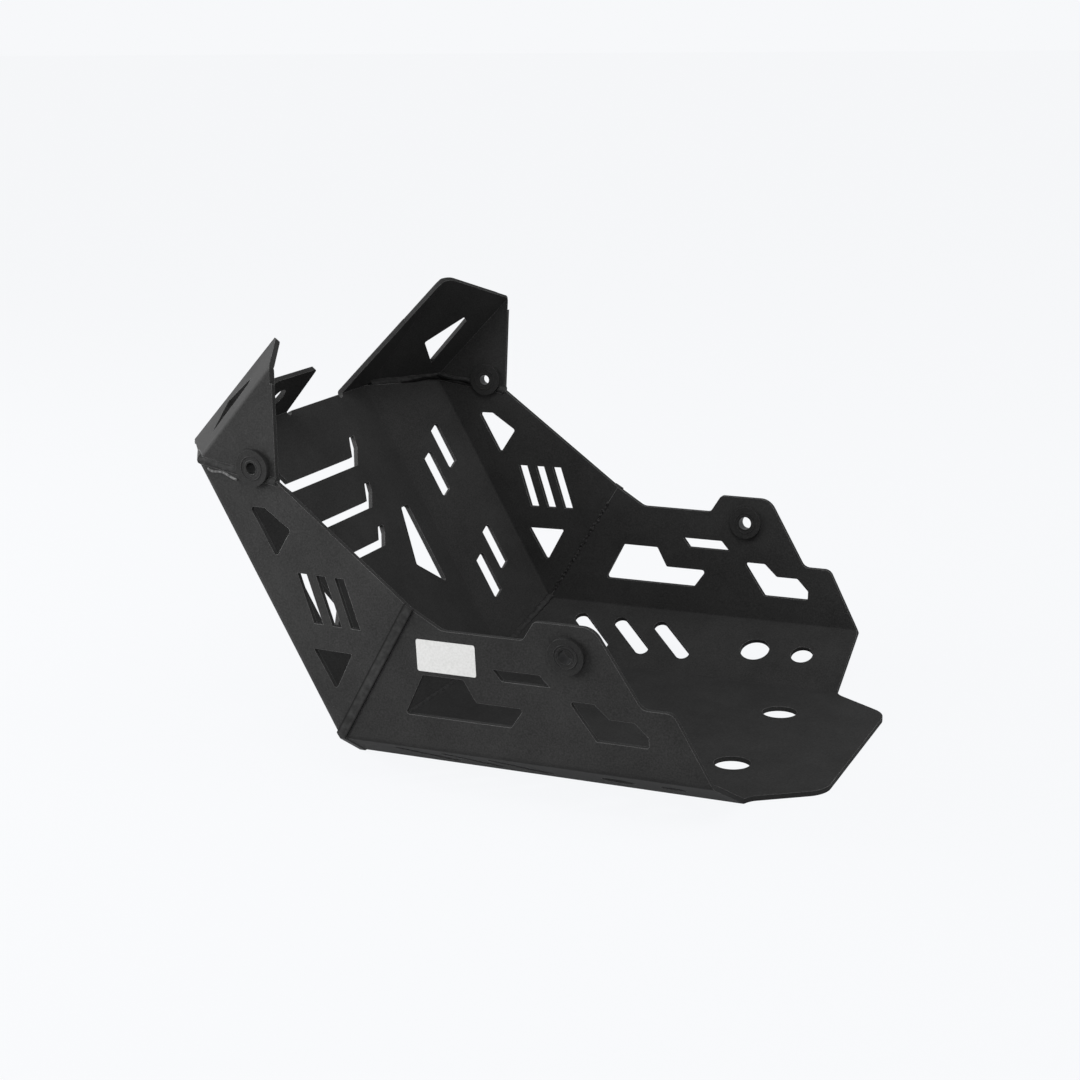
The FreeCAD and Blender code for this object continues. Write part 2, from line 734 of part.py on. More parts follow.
def make_trim(label, tip, first_edge, last_edge, facing, radius):
    """Waste outside a rounded tip, seen square to the fold that ends in it."""
    trim = new_body(label)
    trim.Placement = framed(tip, first_edge - tip, facing)
    places = as_places(trim.Placement, [first_edge, last_edge])
    reach = 3 * size(radius)
    arms = [Vector(x, y, 0).normalize() * reach for x, y in places]
    away = (arms[0] + arms[1]) * -1
    outline = new_sketch(trim, label + "_outline", "XY_Plane")
    draw_outline(
        outline,
        [
            (arms[0].x, arms[0].y),
            (0, 0, "dim." + radius),
            (arms[1].x, arms[1].y),
            (arms[1].x + away.x, arms[1].y + away.y),
            (arms[0].x + away.x, arms[0].y + away.y),
        ],
    )
    pad(trim, outline, label + "_pad", "12 * dim.sheet_gauge", True)
    return trim


def fuse(label, pieces):
    union = doc.addObject("Part::MultiFuse", label)
    union.Shapes = pieces
    union.Refine = True
    return union


def cut(label, base, tool):
    result = doc.addObject("Part::Cut", label)
    result.Base = base
    result.Tool = tool
    result.Refine = True
    return result


def mirror(label, source):
    """Left-hand copy of a right-hand piece."""
    copy = doc.addObject("Part::Mirroring", label)
    copy.Source = source
    copy.Base = Vector(0, 0, 0)
    copy.Normal = Vector(0, 1, 0)
    return copy


# Wing: a root facet bent back from the plate, a side facet with a blade-shaped window, and an
# outer facet that comes down flush with the wall.  The left root is bent back further than the right.
def make_wing(hand):
    """Wing of one hand, drawn on the right of the guard."""
    root_normal = root_facing(hand)
    tip_line = root_normal.cross(side_normal).normalize()
    tip_rise = size("wing_tip_" + hand) - size("plate_top")
    wing_tip = bend_foot + tip_line * (tip_rise / tip_line.z)
    name = "wing_%s_" % hand
    root_facet = make_facet(name + "root", [wing_root, bend_foot, wing_tip], root_normal)
    side_facet = make_facet(name + "side", [bend_foot, slit_corner, fold_top, wing_tip], side_normal)
    blade = new_sketch(side_facet, name + "blade", "XY_Plane")
    draw_outline(
        blade,
        [
            ("dim.blade_low_along", "-dim.blade_low_rise"),
            ("dim.blade_tip_along", "-dim.blade_tip_rise"),
            ("dim.blade_tip_along - dim.blade_end", "-dim.blade_tip_rise - 1.37 * dim.blade_end"),
            ("dim.blade_side_along", "-dim.blade_side_rise", corner),
        ],
    )
    cut_through(side_facet, blade, name + "blade_cut_out")
    wall_facet = make_facet(name + "wall", [slit_corner, slit_end, fold_top], front_wall_normal)
    bends = [
        make_bend(name + "root_bend", wing_root, bend_foot, plate_normal, root_normal),
        make_bend(name + "tip_bend", bend_foot, wing_tip, root_normal, side_normal),
        make_bend(name + "wall_bend", slit_corner, fold_top, side_normal, front_wall_normal),
    ]
    blank = fuse(name + "blank", [root_facet, side_facet, wall_facet] + bends)
    tip_facing = root_normal + side_normal
    fold_facing = side_normal + front_wall_normal
    trims = [
        make_trim(name + "tip_trim", wing_tip, wing_root, fold_top, tip_facing, "wing_tip_corner"),
        make_trim(name + "fold_trim", fold_top, wing_tip, slit_end, fold_facing, "fold_corner"),
    ]
    return cut(name + "drawn", blank, fuse(name + "trims", trims))


wing_right = make_wing("right")
wing_left = mirror("wing_left", make_wing("left"))

# Tab: bent back from the plate's top edge at the same lean as the right wing
tab = new_body("top_tab")
tab_normal = root_facing("right")
tab.Placement = framed(plate_inner, Vector(0, -1, 0), tab_normal)
tab_outline = new_sketch(tab, "tab_outline", "XY_Plane")
draw_outline(
    tab_outline,
    [
        ("dim.tab_right", 0),
        ("dim.tab_right + dim.tab_width", 0),
        ("dim.tab_right + dim.tab_width", "dim.tab_length", "dim.tab_corner"),
        ("dim.tab_right", "dim.tab_length", "dim.tab_corner"),
    ],
)
draw_circle(tab_outline, "dim.tab_hole_place", "dim.tab_hole_rise", "dim.tab_hole_dia")
pad(tab, tab_outline, "tab_pad", "dim.sheet_gauge")
tab_right = plate_inner - Vector(0, size("tab_right"), 0)
tab_left = tab_right - Vector(0, size("tab_width"), 0)
tab_bend = make_bend("tab_bend", tab_right, tab_left, plate_normal, tab_normal)
doc.recompute()
front_folded = fuse("front_folded", [front, wing_right, wing_left, tab, tab_bend])

# Seam weld: a band along the mitre, flush under the floor and proud of the chamfers and walls
band = new_body("seam_band")
band_section = new_sketch(band, "band_section", "YZ_Plane", None, Rotation(Vector(1, 0, 0), 1))
band_section.setExpression(".AttachmentOffset.Rotation.Angle", "0.5 * dim.plate_angle")
draw_outline(
    band_section,
    folded_outline(
        "-dim.bead_proud",
        "dim.bead_depth",
        "(dim.wall_high + dim.bead_crest)",
        "dim.bend_radius + dim.sheet_gauge + dim.bead_proud",
        "dim.bend_radius + dim.sheet_gauge - dim.bead_depth",
        "1 / cos(0.5 * dim.plate_angle)",
    ),
)
pad(band, band_section, "band_pad", "dim.bead_width", True)
band.setExpression(".Placement.Base.x", corner_place)


def make_reach(label, tilt):
    """Space that the bead may fill: inside the outer faces, and as far as it stands proud."""
    reach = new_body(label)
    outline = new_sketch(reach, label + "_outline", "YZ_Plane")
    proud = section_corners("-dim.bead_proud", wall_reach)
    right = [("dim.floor_half + dim.bead_proud / sin(%s)" % chamfer_angle, "0"), proud[1], proud[2]]
    left = [("-(%s)" % c[0], c[1]) for c in reversed(right)]
    draw_outline(outline, right + left)
    pad(reach, outline, label + "_pad", "2 * dim.pan_length", True)
    reach.Placement = Placement(Vector(), Rotation(Vector(0, 1, 0), 1))
    reach.setExpression(".Placement.Base.x", corner_place)
    reach.setExpression(".Placement.Rotation.Angle", tilt)
    return reach


def common(label, base, tool):
    result = doc.addObject("Part::Common", label)
    result.Base = base
    result.Tool = tool
    result.Refine = True
    return result


lower_reach = make_reach("lower_bead_reach", "0")
front_reach = make_reach("front_bead_reach", "dim.plate_angle")
seam_weld = common("seam_weld", common("seam_band_low", band, lower_reach), front_reach)


# Rubber mounts: each grommet clips into a wall, with its waist in the hole and a flange on each
# face, and carries a metal sleeve
def make_grommet(label, placement, sleeve):
    grommet = new_body(label)
    profile = new_sketch(grommet, label + "_profile", "XZ_Plane")
    seat = "0.5 * dim.sheet_gauge"
    face = "(0.5 * dim.sheet_gauge + dim.flange_thick)"
    draw_outline(
        profile,
        [
            ("0.5 * dim." + sleeve, "-" + face),
            ("0.5 * dim.flange_dia", "-" + face),
            ("0.5 * dim.flange_dia", "-" + seat),
            ("0.5 * dim.waist_dia", "-" + seat),
            ("0.5 * dim.waist_dia", seat),
            ("0.5 * dim.flange_dia", seat),
            ("0.5 * dim.flange_dia", face),
            ("0.5 * dim." + sleeve, face),
        ],
    )
    turn = grommet.newObject("PartDesign::Revolution", label + "_turn")
    turn.Profile = profile
    turn.ReferenceAxis = (profile, ["V_Axis"])
    turn.Angle = 360
    grommet.Placement = placement
    return grommet


def make_sleeve(label, placement, diameter, bore):
    sleeve = new_body(label)
    ring = new_sketch(sleeve, label + "_ring", "XY_Plane")
    draw_circle(ring, 0, 0, "dim." + diameter)
    draw_circle(ring, 0, 0, "dim." + bore)
    pad(sleeve, ring, label + "_tube", "dim.sheet_gauge + 2 * dim.flange_thick", True)
    sleeve.Placement = placement
    return sleeve


def make_hole(label, placement):
    hole = doc.addObject("Part::Cylinder", label)
    hole.setExpression("Radius", "0.5 * dim.waist_dia")
    hole.setExpression("Height", "6 * dim.sheet_gauge")
    hole.Placement = placement.multiply(Placement(Vector(0, 0, -3 * gauge), Rotation()))
    return hole


mounts = {
    "rear": (
        lower_wall_point(size("rear_mount_place"), size("rear_mount_height"), gauge / 2),
        lower_wall_normal,
    ),
    "front": (
        front_wall_point(size("front_mount_place"), size("front_mount_height"), gauge / 2),
        front_wall_normal,
    ),
}
nodes = []
holes = {"rear": [], "front": []}
for end, (centre, normal) in mounts.items():
    for hand, side in (("right", 1), ("left", -1)):
        point = Vector(centre.x, side * centre.y, centre.z)
        outward = Vector(normal.x, side * normal.y, normal.z)
        placement = framed(point, Vector(1, 0, 0), outward)
        name = "%s_%s" % (end, hand)
        nodes.append(make_grommet("grommet_" + name, placement, end + "_sleeve_dia"))
        nodes.append(
            make_sleeve("sleeve_" + name, placement, end + "_sleeve_dia", end + "_sleeve_bore")
        )
        holes[end].append(make_hole("hole_" + name, placement))


# Wing welds: a bead along the chamfer's top edge to the slit corner and on along the slit.  The
# front grommet's flange breaks it, which leaves a short tail behind the grommet.
def make_rod(label, start, end):
    rod = doc.addObject("Part::Cylinder", label)
    rod.setExpression("Radius", "0.5 * dim.rod_dia")
    rod.Height = (end - start).Length
    rod.Placement = Placement(start, Rotation(Vector(0, 0, 1), end - start))
    return rod


chamfer_corner = plate_inner + Vector(0, value_of(band_section, section_corners("dim.sheet_gauge", "0")[0][0]), 0)
ledge_share = (bend_foot.y - chamfer_corner.y) / (slit_corner.y - chamfer_corner.y)
ledge = chamfer_corner + (slit_corner - chamfer_corner) * ledge_share
weld_start = (bend_foot + ledge) * 0.5 - (slit_corner - bend_foot).normalize() * gauge
weld_corner = slit_corner + (side_normal + front_wall_normal).normalize() * gauge / 2
weld_end = slit_end + front_wall_normal * gauge / 2
weld_line = (weld_end - weld_corner).normalize()
front_centre = mounts["front"][0]
weld_break = weld_corner + weld_line * (front_centre - weld_corner).dot(weld_line)

flange_room = doc.addObject("Part::Cylinder", "flange_room")
flange_room.setExpression("Radius", "0.5 * dim.flange_dia + dim.weld_clearance")
flange_room.setExpression("Height", "8 * dim.sheet_gauge")
flange_room.Placement = Placement(
    front_centre - front_wall_normal * 4 * gauge, Rotation(Vector(0, 0, 1), front_wall_normal)
)
chamfer_line = (weld_corner - weld_start).normalize()
corner_lap = 0.45 * size("rod_dia") * math.tan(chamfer_line.getAngle(weld_line) / 2)
weld_run = fuse(
    "wing_weld_run",
    [
        make_rod("weld_rod_chamfer", weld_start, weld_corner + chamfer_line * corner_lap),
        make_rod("weld_rod_slit", weld_corner - weld_line * corner_lap, weld_break),
    ],
)
wing_weld_right = cut("wing_weld_right", weld_run, flange_room)
wing_tail_right = cut(
    "wing_weld_tail_right", make_rod("weld_rod_tail", weld_break, weld_end), flange_room
)
wing_weld_left = mirror("wing_weld_left", wing_weld_right)
wing_tail_left = mirror("wing_weld_tail_left", wing_tail_right)
wing_welds = [wing_weld_right, wing_tail_right, wing_weld_left, wing_tail_left]

# The sheets, less the holes for the grommets and the metal that each weld has taken up
lower_pan = cut("lower_pan", lower, fuse("lower_taken", [seam_weld] + holes["rear"]))
front_pan = cut(
    "front_pan", front_folded, fuse("front_taken", [seam_weld] + wing_welds + holes["front"])
)
nodes = [lower_pan, front_pan, seam_weld] + wing_welds + nodes
doc.recompute()

for feature in doc.Objects:
    if "Invalid" in feature.State or "Error" in feature.State:
        raise RuntimeError("%s did not rebuild: %s" % (feature.Label, feature.State))
for node in nodes:
    if node.Shape.isNull() or not node.Shape.isValid():
        raise RuntimeError("%s has no sound shape" % node.Label)
    print(node.Label, len(node.Shape.Solids), round(node.Shape.Volume, 1), node.Shape.BoundBox)
    node.Shape.exportStep("parts/%s.step" % node.Label)
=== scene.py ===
import math
import random

import bmesh
import bpy
from mathutils import Euler, Matrix, Vector


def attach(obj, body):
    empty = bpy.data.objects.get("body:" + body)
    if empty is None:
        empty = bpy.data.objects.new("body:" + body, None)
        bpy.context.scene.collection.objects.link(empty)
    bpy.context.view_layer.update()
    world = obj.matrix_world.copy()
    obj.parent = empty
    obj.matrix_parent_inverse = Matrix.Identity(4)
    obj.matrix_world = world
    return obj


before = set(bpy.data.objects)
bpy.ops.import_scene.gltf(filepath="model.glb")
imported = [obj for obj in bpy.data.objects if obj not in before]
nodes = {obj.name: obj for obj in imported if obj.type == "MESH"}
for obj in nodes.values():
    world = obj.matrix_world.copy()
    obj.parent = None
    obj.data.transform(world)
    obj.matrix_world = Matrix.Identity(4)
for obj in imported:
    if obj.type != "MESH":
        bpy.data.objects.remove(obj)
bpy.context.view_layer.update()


# The two pans: the lower tray and the front plate with its wings. Each is cut from 3 mm sheet by
# laser, folded, and finished in a matte black powder coat with a fine orange-peel grain.
def new_material(name):
    """Empty node material; returns it with its tree and its output."""
    material = bpy.data.materials.new(name)
    material.use_nodes = True
    tree = material.node_tree
    tree.nodes.clear()
    return material, tree, tree.nodes.new("ShaderNodeOutputMaterial")


def add_node(tree, kind, sockets=None, **settings):
    """Shader node with its settings and the values of its unlinked sockets."""
    node = tree.nodes.new(kind)
    for name, value in settings.items():
        setattr(node, name, value)
    for name, value in (sockets or {}).items():
        node.inputs[name].default_value = value
    return node


def make_black_finish(name, dark, pale, edge_highlight_grey, roughness, grain_size, grain_depth):
    """Black finish: grain, faint clouding, and a paler line along each edge, a painted highlight
    with a little real edge wear.
    """
    grain_share = 0.6
    edge_radius = 0.00045
    material, tree, output = new_material(name)
    link = tree.links.new
    coat = add_node(tree, "ShaderNodeBsdfPrincipled", {"Specular IOR Level": 0.02})
    place = add_node(tree, "ShaderNodeTexCoord")
    cloud = add_node(tree, "ShaderNodeTexNoise", {"Scale": 26.0, "Detail": 4.0, "Roughness": 0.62})
    grain = add_node(tree, "ShaderNodeTexNoise", {"Scale": 1 / grain_size, "Detail": 2.0})
    link(place.outputs["Object"], cloud.inputs["Vector"])
    link(place.outputs["Object"], grain.inputs["Vector"])

    shade = add_node(tree, "ShaderNodeMath", operation="MULTIPLY_ADD")
    shade.inputs[1].default_value = grain_share
    link(grain.outputs["Fac"], shade.inputs[0])
    cloud_share = add_node(tree, "ShaderNodeMath", operation="MULTIPLY")
    cloud_share.inputs[1].default_value = 1 - grain_share
    link(cloud.outputs["Fac"], cloud_share.inputs[0])
    link(cloud_share.outputs["Value"], shade.inputs[2])
    tint = add_node(tree, "ShaderNodeValToRGB")
    for stop, position, grey in zip(tint.color_ramp.elements, (0.36, 0.66), (dark, pale)):
        stop.position = position
        stop.color = (grey, grey, grey, 1)
    link(shade.outputs["Value"], tint.inputs["Fac"])

    eased = add_node(tree, "ShaderNodeBevel", {"Radius": edge_radius}, samples=4)
    flat = add_node(tree, "ShaderNodeNewGeometry")
    facing = add_node(tree, "ShaderNodeVectorMath", operation="DOT_PRODUCT")
    link(eased.outputs["Normal"], facing.inputs[0])
    link(flat.outputs["Normal"], facing.inputs[1])
    # Painted highlight: near edges and bends, where the bevel normal turns from the face, the
    # colour is mixed in patches towards edge_highlight_grey; a little of it stands for real wear.
    edge_highlight_mask = add_node(tree, "ShaderNodeMapRange", {"From Min": 0.985, "From Max": 0.8})
    link(facing.outputs["Value"], edge_highlight_mask.inputs["Value"])
    patchy_edge_highlight = add_node(tree, "ShaderNodeMath", operation="MULTIPLY")
    link(edge_highlight_mask.outputs["Result"], patchy_edge_highlight.inputs[0])
    link(cloud.outputs["Fac"], patchy_edge_highlight.inputs[1])
    colour = add_node(tree, "ShaderNodeMix", data_type="RGBA")
    colour.inputs["B"].default_value = (edge_highlight_grey, edge_highlight_grey, edge_highlight_grey, 1)
    link(patchy_edge_highlight.outputs["Value"], colour.inputs["Factor"])
    link(tint.outputs["Color"], colour.inputs["A"])
    link(colour.outputs["Result"], coat.inputs["Base Color"])

    gloss = add_node(
        tree, "ShaderNodeMapRange", {"To Min": roughness - 0.06, "To Max": roughness + 0.08}
    )
    link(shade.outputs["Value"], gloss.inputs["Value"])
    link(gloss.outputs["Result"], coat.inputs["Roughness"])
    peel = add_node(tree, "ShaderNodeBump", {"Strength": 0.5, "Distance": grain_depth})
    link(grain.outputs["Fac"], peel.inputs["Height"])
    link(eased.outputs["Normal"], peel.inputs["Normal"])
    link(peel.outputs["Normal"], coat.inputs["Normal"])
    link(coat.outputs["BSDF"], output.inputs["Surface"])
    return material


def dress(piece, material):
    """Gives a piece one finish all over."""
    piece.data.materials.clear()
    piece.data.materials.append(material)


sheet_coat = make_black_finish(
    "sheet_powder_coat", dark=0.017, pale=0.029, edge_highlight_grey=0.26,
    roughness=0.66, grain_size=0.0009, grain_depth=0.00009,
)
for pan in ("lower_pan", "front_pan"):
    dress(nodes[pan], sheet_coat)


# The welds: beads that close the mitre between the pans and the slits under the wings. They are
# run by hand, dressed a little, and coated together with the sheets. The seam's toes get painted
# shade, standing in for the shade in the grooves along the bead's edges.
weld_dark = 0.017
weld_pale = 0.032
weld_edge_highlight_grey = 0.10
weld_roughness = 0.52
weld_coat = make_black_finish(
    "weld_powder_coat", weld_dark, weld_pale, weld_edge_highlight_grey,
    weld_roughness, grain_size=0.0022, grain_depth=0.0006,
)
for weld in ("wing_weld_left", "wing_weld_right", "wing_weld_tail_left", "wing_weld_tail_right"):
    dress(nodes[weld], weld_coat)

plate_angle = 61.0
mitre_x = -0.08663
mitre_turn = math.radians(plate_angle / 2)
toe_start = 0.0018
toe_end = 0.0030
toe_shade_grey = 0.007
seam_coat = make_black_finish(
    "seam_powder_coat", weld_dark, weld_pale, weld_edge_highlight_grey,
    weld_roughness, grain_size=0.0030, grain_depth=0.0003,
)
seam_tree = seam_coat.node_tree
seam_surface = seam_tree.nodes["Principled BSDF"]
seam_place = add_node(seam_tree, "ShaderNodeTexCoord")
across_seam = add_node(seam_tree, "ShaderNodeVectorMath", operation="DOT_PRODUCT")
across_seam.inputs[1].default_value = (math.cos(mitre_turn), 0, -math.sin(mitre_turn))
seam_tree.links.new(seam_place.outputs["Object"], across_seam.inputs[0])
centred = add_node(seam_tree, "ShaderNodeMath", operation="SUBTRACT")
centred.inputs[1].default_value = mitre_x * math.cos(mitre_turn)
seam_tree.links.new(across_seam.outputs["Value"], centred.inputs[0])
from_middle = add_node(seam_tree, "ShaderNodeMath", operation="ABSOLUTE")
seam_tree.links.new(centred.outputs["Value"], from_middle.inputs[0])
# Painted shade: the bead's colour goes towards toe_shade_grey from 1.8 mm out from the mitre line,
# fully from 3 mm.
toe_shade_mask = add_node(seam_tree, "ShaderNodeMapRange", {"From Min": toe_start, "From Max": toe_end})
seam_tree.links.new(from_middle.outputs["Value"], toe_shade_mask.inputs["Value"])
undercut_shade = add_node(seam_tree, "ShaderNodeMix", data_type="RGBA")
undercut_shade.inputs["B"].default_value = (toe_shade_grey, toe_shade_grey, toe_shade_grey, 1)
seam_tree.links.new(toe_shade_mask.outputs["Result"], undercut_shade.inputs["Factor"])
seam_tree.links.new(seam_surface.inputs["Base Color"].links[0].from_socket, undercut_shade.inputs["A"])
seam_tree.links.new(undercut_shade.outputs["Result"], seam_surface.inputs["Base Color"])
dress(nodes["seam_weld"], seam_coat)


# The root of the mitre weld: spots of metal that came through to the inside along the walls, and
# a low bead along the chamfers and the floor, all under the same coat.
gauge = 0.003
wall_half = 0.150
chamfer_rise = 0.027
wall_lean = math.radians(5.4)
wall_slope = math.tan(wall_lean)
mitre_run = math.tan(mitre_turn)


def mitre_point(y, z):
    """Point of the mitre plane, where the two pans meet."""
    return Vector((mitre_x + mitre_run * z, y, z))


def wall_inside(z):
    """How far out the inner face of a wall stands at a height."""
    return wall_half - gauge / math.cos(wall_lean) + (z - chamfer_rise) * wall_slope


def new_piece(name, mesh_builder, material):
    """Object from a bmesh, smooth shaded, that rides with the guard."""
    mesh = bpy.data.meshes.new(name)
    mesh_builder.to_mesh(mesh)
    mesh_builder.free()
    for face in mesh.polygons:
        face.use_smooth = True
    piece = bpy.data.objects.new(name, mesh)
    bpy.context.scene.collection.objects.link(piece)
    dress(piece, material)
    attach(piece, "root")
    return piece


def add_spot(shape, centre, along, out, length, width, height):
    """Flat drop of weld metal, half sunk in the sheet."""
    across = out.cross(along).normalized()
    axes = Matrix((along * length / 2, across * width / 2, out * height)).transposed().to_4x4()
    bmesh.ops.create_icosphere(
        shape, subdivisions=2, radius=1.0, matrix=Matrix.Translation(centre) @ axes
    )


spots_low = 0.036
spots_high = 0.099
spot_sway = 0.0005
spot_length = (0.0022, 0.0036)
spot_width = (0.0018, 0.0032)
spot_height = (0.0005, 0.0012)
spot_step = (0.0022, 0.0034)
chance = random.Random(7)
spots = bmesh.new()
for side in (-1, 1):
    level = spots_low
    while level < spots_high:
        foot = mitre_point(side * wall_inside(level), level)
        ahead = mitre_point(side * wall_inside(level + 0.01), level + 0.01)
        along = (ahead - foot).normalized()
        inward = Vector((0.0, -side * math.cos(wall_lean), wall_slope))
        inward = (inward - along * inward.dot(along)).normalized()
        sway = along.cross(inward) * chance.uniform(-spot_sway, spot_sway)
        add_spot(
            spots, foot + sway, along, inward,
            chance.uniform(*spot_length),
            chance.uniform(*spot_width),
            chance.uniform(*spot_height),
        )
        level += chance.uniform(*spot_step)
root_coat = make_black_finish(
    "root_powder_coat", dark=0.004, pale=0.050, edge_highlight_grey=0.14,
    roughness=0.40, grain_size=0.0011, grain_depth=0.0004,
)
new_piece("mitre_root_spots", spots, root_coat)


def sweep_bead(shape, path, ups, width, height, pitch, sway):
    """Low half-round bead along a path, with the ripple that each drop of weld leaves."""
    sides = 10
    steps_per_drop = 5
    ripple = 0.12
    unevenness = 0.05
    rings = []
    travelled = 0.0
    for start, end, up in zip(path, path[1:], ups):
        span = (end - start).length
        steps = max(2, round(span / (pitch / steps_per_drop)))
        along = (end - start).normalized()
        across = along.cross(up).normalized()
        for step in range(steps + 1):
            place = start.lerp(end, step / steps)
            # The odd factors below keep the swell and the drift out of step with the drops.
            phase = (travelled + span * step / steps) / pitch
            swell = 1.0 + ripple * abs(math.sin(math.pi * phase))
            swell += unevenness * math.sin(2.7 * phase)
            drift = across * sway * math.sin(1.9 * phase + 0.6 * math.sin(0.7 * phase))
            ring = []
            for corner in range(sides):
                turn = math.tau * corner / sides
                offset = across * math.cos(turn) * width / 2 + up * math.sin(turn) * height
                ring.append(shape.verts.new(place + drift + offset * swell))
            rings.append(ring)
        travelled += span
    for first, second in zip(rings, rings[1:]):
        for corner in range(sides):
            after = (corner + 1) % sides
            shape.faces.new((first[corner], first[after], second[after], second[corner]))
    shape.faces.new(rings[0][::-1])
    shape.faces.new(rings[-1])
    bmesh.ops.recalc_face_normals(shape, faces=shape.faces)


floor_corner = 0.0968
wall_corner = (0.1474, 0.0312)
inside_corners = [
    mitre_point(-wall_corner[0], wall_corner[1]),
    mitre_point(-floor_corner, gauge),
    mitre_point(floor_corner, gauge),
    mitre_point(wall_corner[0], wall_corner[1]),
]
into_tray = [
    Vector((0.44, 0.457, 0.77)).normalized(),
    Vector((math.cos(mitre_turn), 0, math.sin(mitre_turn))),
    Vector((0.44, -0.457, 0.77)).normalized(),
]
bead = bmesh.new()
sweep_bead(
    bead, inside_corners, into_tray, width=0.0034, height=0.0006, pitch=0.0021, sway=0.0002
)
new_piece("mitre_root_bead", bead, weld_coat)


# The caps of the wing welds: lumpy hand-run beads over the slit under each wing, inside and
# outside. Below the inner one lies a near-black bead, painted shade standing in for the open slit,
# and the outer one is pale, a painted highlight on the bead. Places are the right wing's.
slit_path = [(-0.1829, 0.1030, 0.1782), (-0.1522, 0.1472, 0.1782), (-0.1280, 0.1490, 0.1742)]
slit_tail = [(-0.1062, 0.1506, 0.1711), (-0.1034, 0.1508, 0.1706)]
slit_facing = [(0.74, -0.50, 0.45), (0.08, -0.99, 0.10)]
outside_path = [(-0.1480, 0.1504, 0.1740), (-0.1285, 0.1518, 0.1700)]
cap_rise = Vector((0, 0, 0.0015))
cap_lift = 0.0011
slit_shade_lift = 0.0018
slit_shade_drop = Vector((0, 0, -0.0012))
# Painted shade: a near-black bead swept along the slit under each wing, where the open slit shows
# only shade.
slit_shade_coat = make_black_finish(
    "painted_slit_shade", dark=0.003, pale=0.007, edge_highlight_grey=0.02,
    roughness=0.60, grain_size=0.0016, grain_depth=0.0004,
)
# Painted highlight: the pale finish of the outer wing bead stands in for the glint on its glossy
# surface.
weld_highlight_coat = make_black_finish(
    "painted_weld_highlight", dark=0.05, pale=0.17, edge_highlight_grey=0.20,
    roughness=0.45, grain_size=0.0016, grain_depth=0.0003,
)


def on_side(points, side):
    """Points of the right wing, or their mirror image for the left one."""
    return [Vector((x, y * side, z)) for x, y, z in points]


for hand, side in (("left", -1), ("right", 1)):
    ups = [up.normalized() for up in on_side(slit_facing, side)]
    lift = (ups[0] + ups[1]).normalized() * cap_lift
    foot, bend, reach = on_side(slit_path, side)

    cap = bmesh.new()
    cap_path = [point + cap_rise + lift for point in (foot, bend, reach)]
    sweep_bead(cap, cap_path, ups, width=0.0026, height=0.0012, pitch=0.0062, sway=0.0005)
    sweep_bead(
        cap, on_side(slit_tail, side), ups[1:],
        width=0.0034, height=0.0012, pitch=0.0031, sway=0.0005,
    )
    new_piece("wing_weld_cap_" + hand, cap, weld_coat)

    outside = bmesh.new()
    sweep_bead(
        outside, on_side(outside_path, side), [-ups[1]],
        width=0.0015, height=0.0006, pitch=0.0047, sway=0.0007,
    )
    new_piece("wing_weld_face_" + hand, outside, weld_highlight_coat)

    slit_shade_shape = bmesh.new()
    chamfer_slit_shade = [point + ups[0] * slit_shade_lift + slit_shade_drop for point in (foot, bend)]
    wall_slit_shade = [bend + lift, reach + lift]
    sweep_bead(
        slit_shade_shape, chamfer_slit_shade, ups[:1], width=0.0026, height=0.0009, pitch=0.0075, sway=0.0005
    )
    sweep_bead(slit_shade_shape, wall_slit_shade, ups[1:], width=0.0017, height=0.0006, pitch=0.0075, sway=0.0006)
    new_piece("wing_slit_shade_" + hand, slit_shade_shape, slit_shade_coat)


# The mounts: black rubber grommets clipped into the walls, with a dark plated steel sleeve pushed
# through each for the bolt. A fine moulded lip runs round both faces of each grommet.
grommet_rubber = make_black_finish(
    "grommet_rubber", dark=0.014, pale=0.024, edge_highlight_grey=0.06,
    roughness=0.55, grain_size=0.0007, grain_depth=0.00005,
)
sleeve_plating = make_black_finish(
    "sleeve_plating", dark=0.012, pale=0.026, edge_highlight_grey=0.08,
    roughness=0.42, grain_size=0.0005, grain_depth=0.00002,
)
sleeve_plating.node_tree.nodes["Principled BSDF"].inputs["Metallic"].default_value = 0.4
lip_radius = 0.0066
lip_half = 0.00035
lip_flatness = 0.8
lip_steps = 48
lip_sides = 10
for end, lean in (("front", (-0.0823, 0.9956, -0.0456)), ("rear", (0.0, 0.9956, -0.0941))):
    for hand, side in (("left", -1), ("right", 1)):
        grommet = nodes["grommet_%s_%s" % (end, hand)]
        dress(grommet, grommet_rubber)
        dress(nodes["sleeve_%s_%s" % (end, hand)], sleeve_plating)
        surface = [grommet.matrix_world @ vertex.co for vertex in grommet.data.vertices]
        middle = sum(surface, Vector()) / len(surface)
        axis = Vector((lean[0], lean[1] * side, lean[2])).normalized()
        across = axis.cross(Vector((1, 0, 0))).normalized()
        upward = axis.cross(across)
        lips = bmesh.new()
        for outward in (axis, -axis):
            face_reach = max((point - middle).dot(outward) for point in surface)
            rings = []
            for step in range(lip_steps):
                turn = math.tau * step / lip_steps
                spoke = across * math.cos(turn) + upward * math.sin(turn)
                centre = middle + outward * face_reach + spoke * lip_radius
                ring = []
                for corner in range(lip_sides):
                    tilt = math.tau * corner / lip_sides
                    offset = spoke * math.cos(tilt) + outward * math.sin(tilt) * lip_flatness
                    ring.append(lips.verts.new(centre + offset * lip_half))
                rings.append(ring)
            for step in range(lip_steps):
                first, second = rings[step], rings[(step + 1) % lip_steps]
                for corner in range(lip_sides):
                    after = (corner + 1) % lip_sides
                    lips.faces.new((first[corner], first[after], second[after], second[corner]))
        bmesh.ops.recalc_face_normals(lips, faces=lips.faces)
        new_piece("grommet_lips_%s_%s" % (end, hand), lips, grommet_rubber)


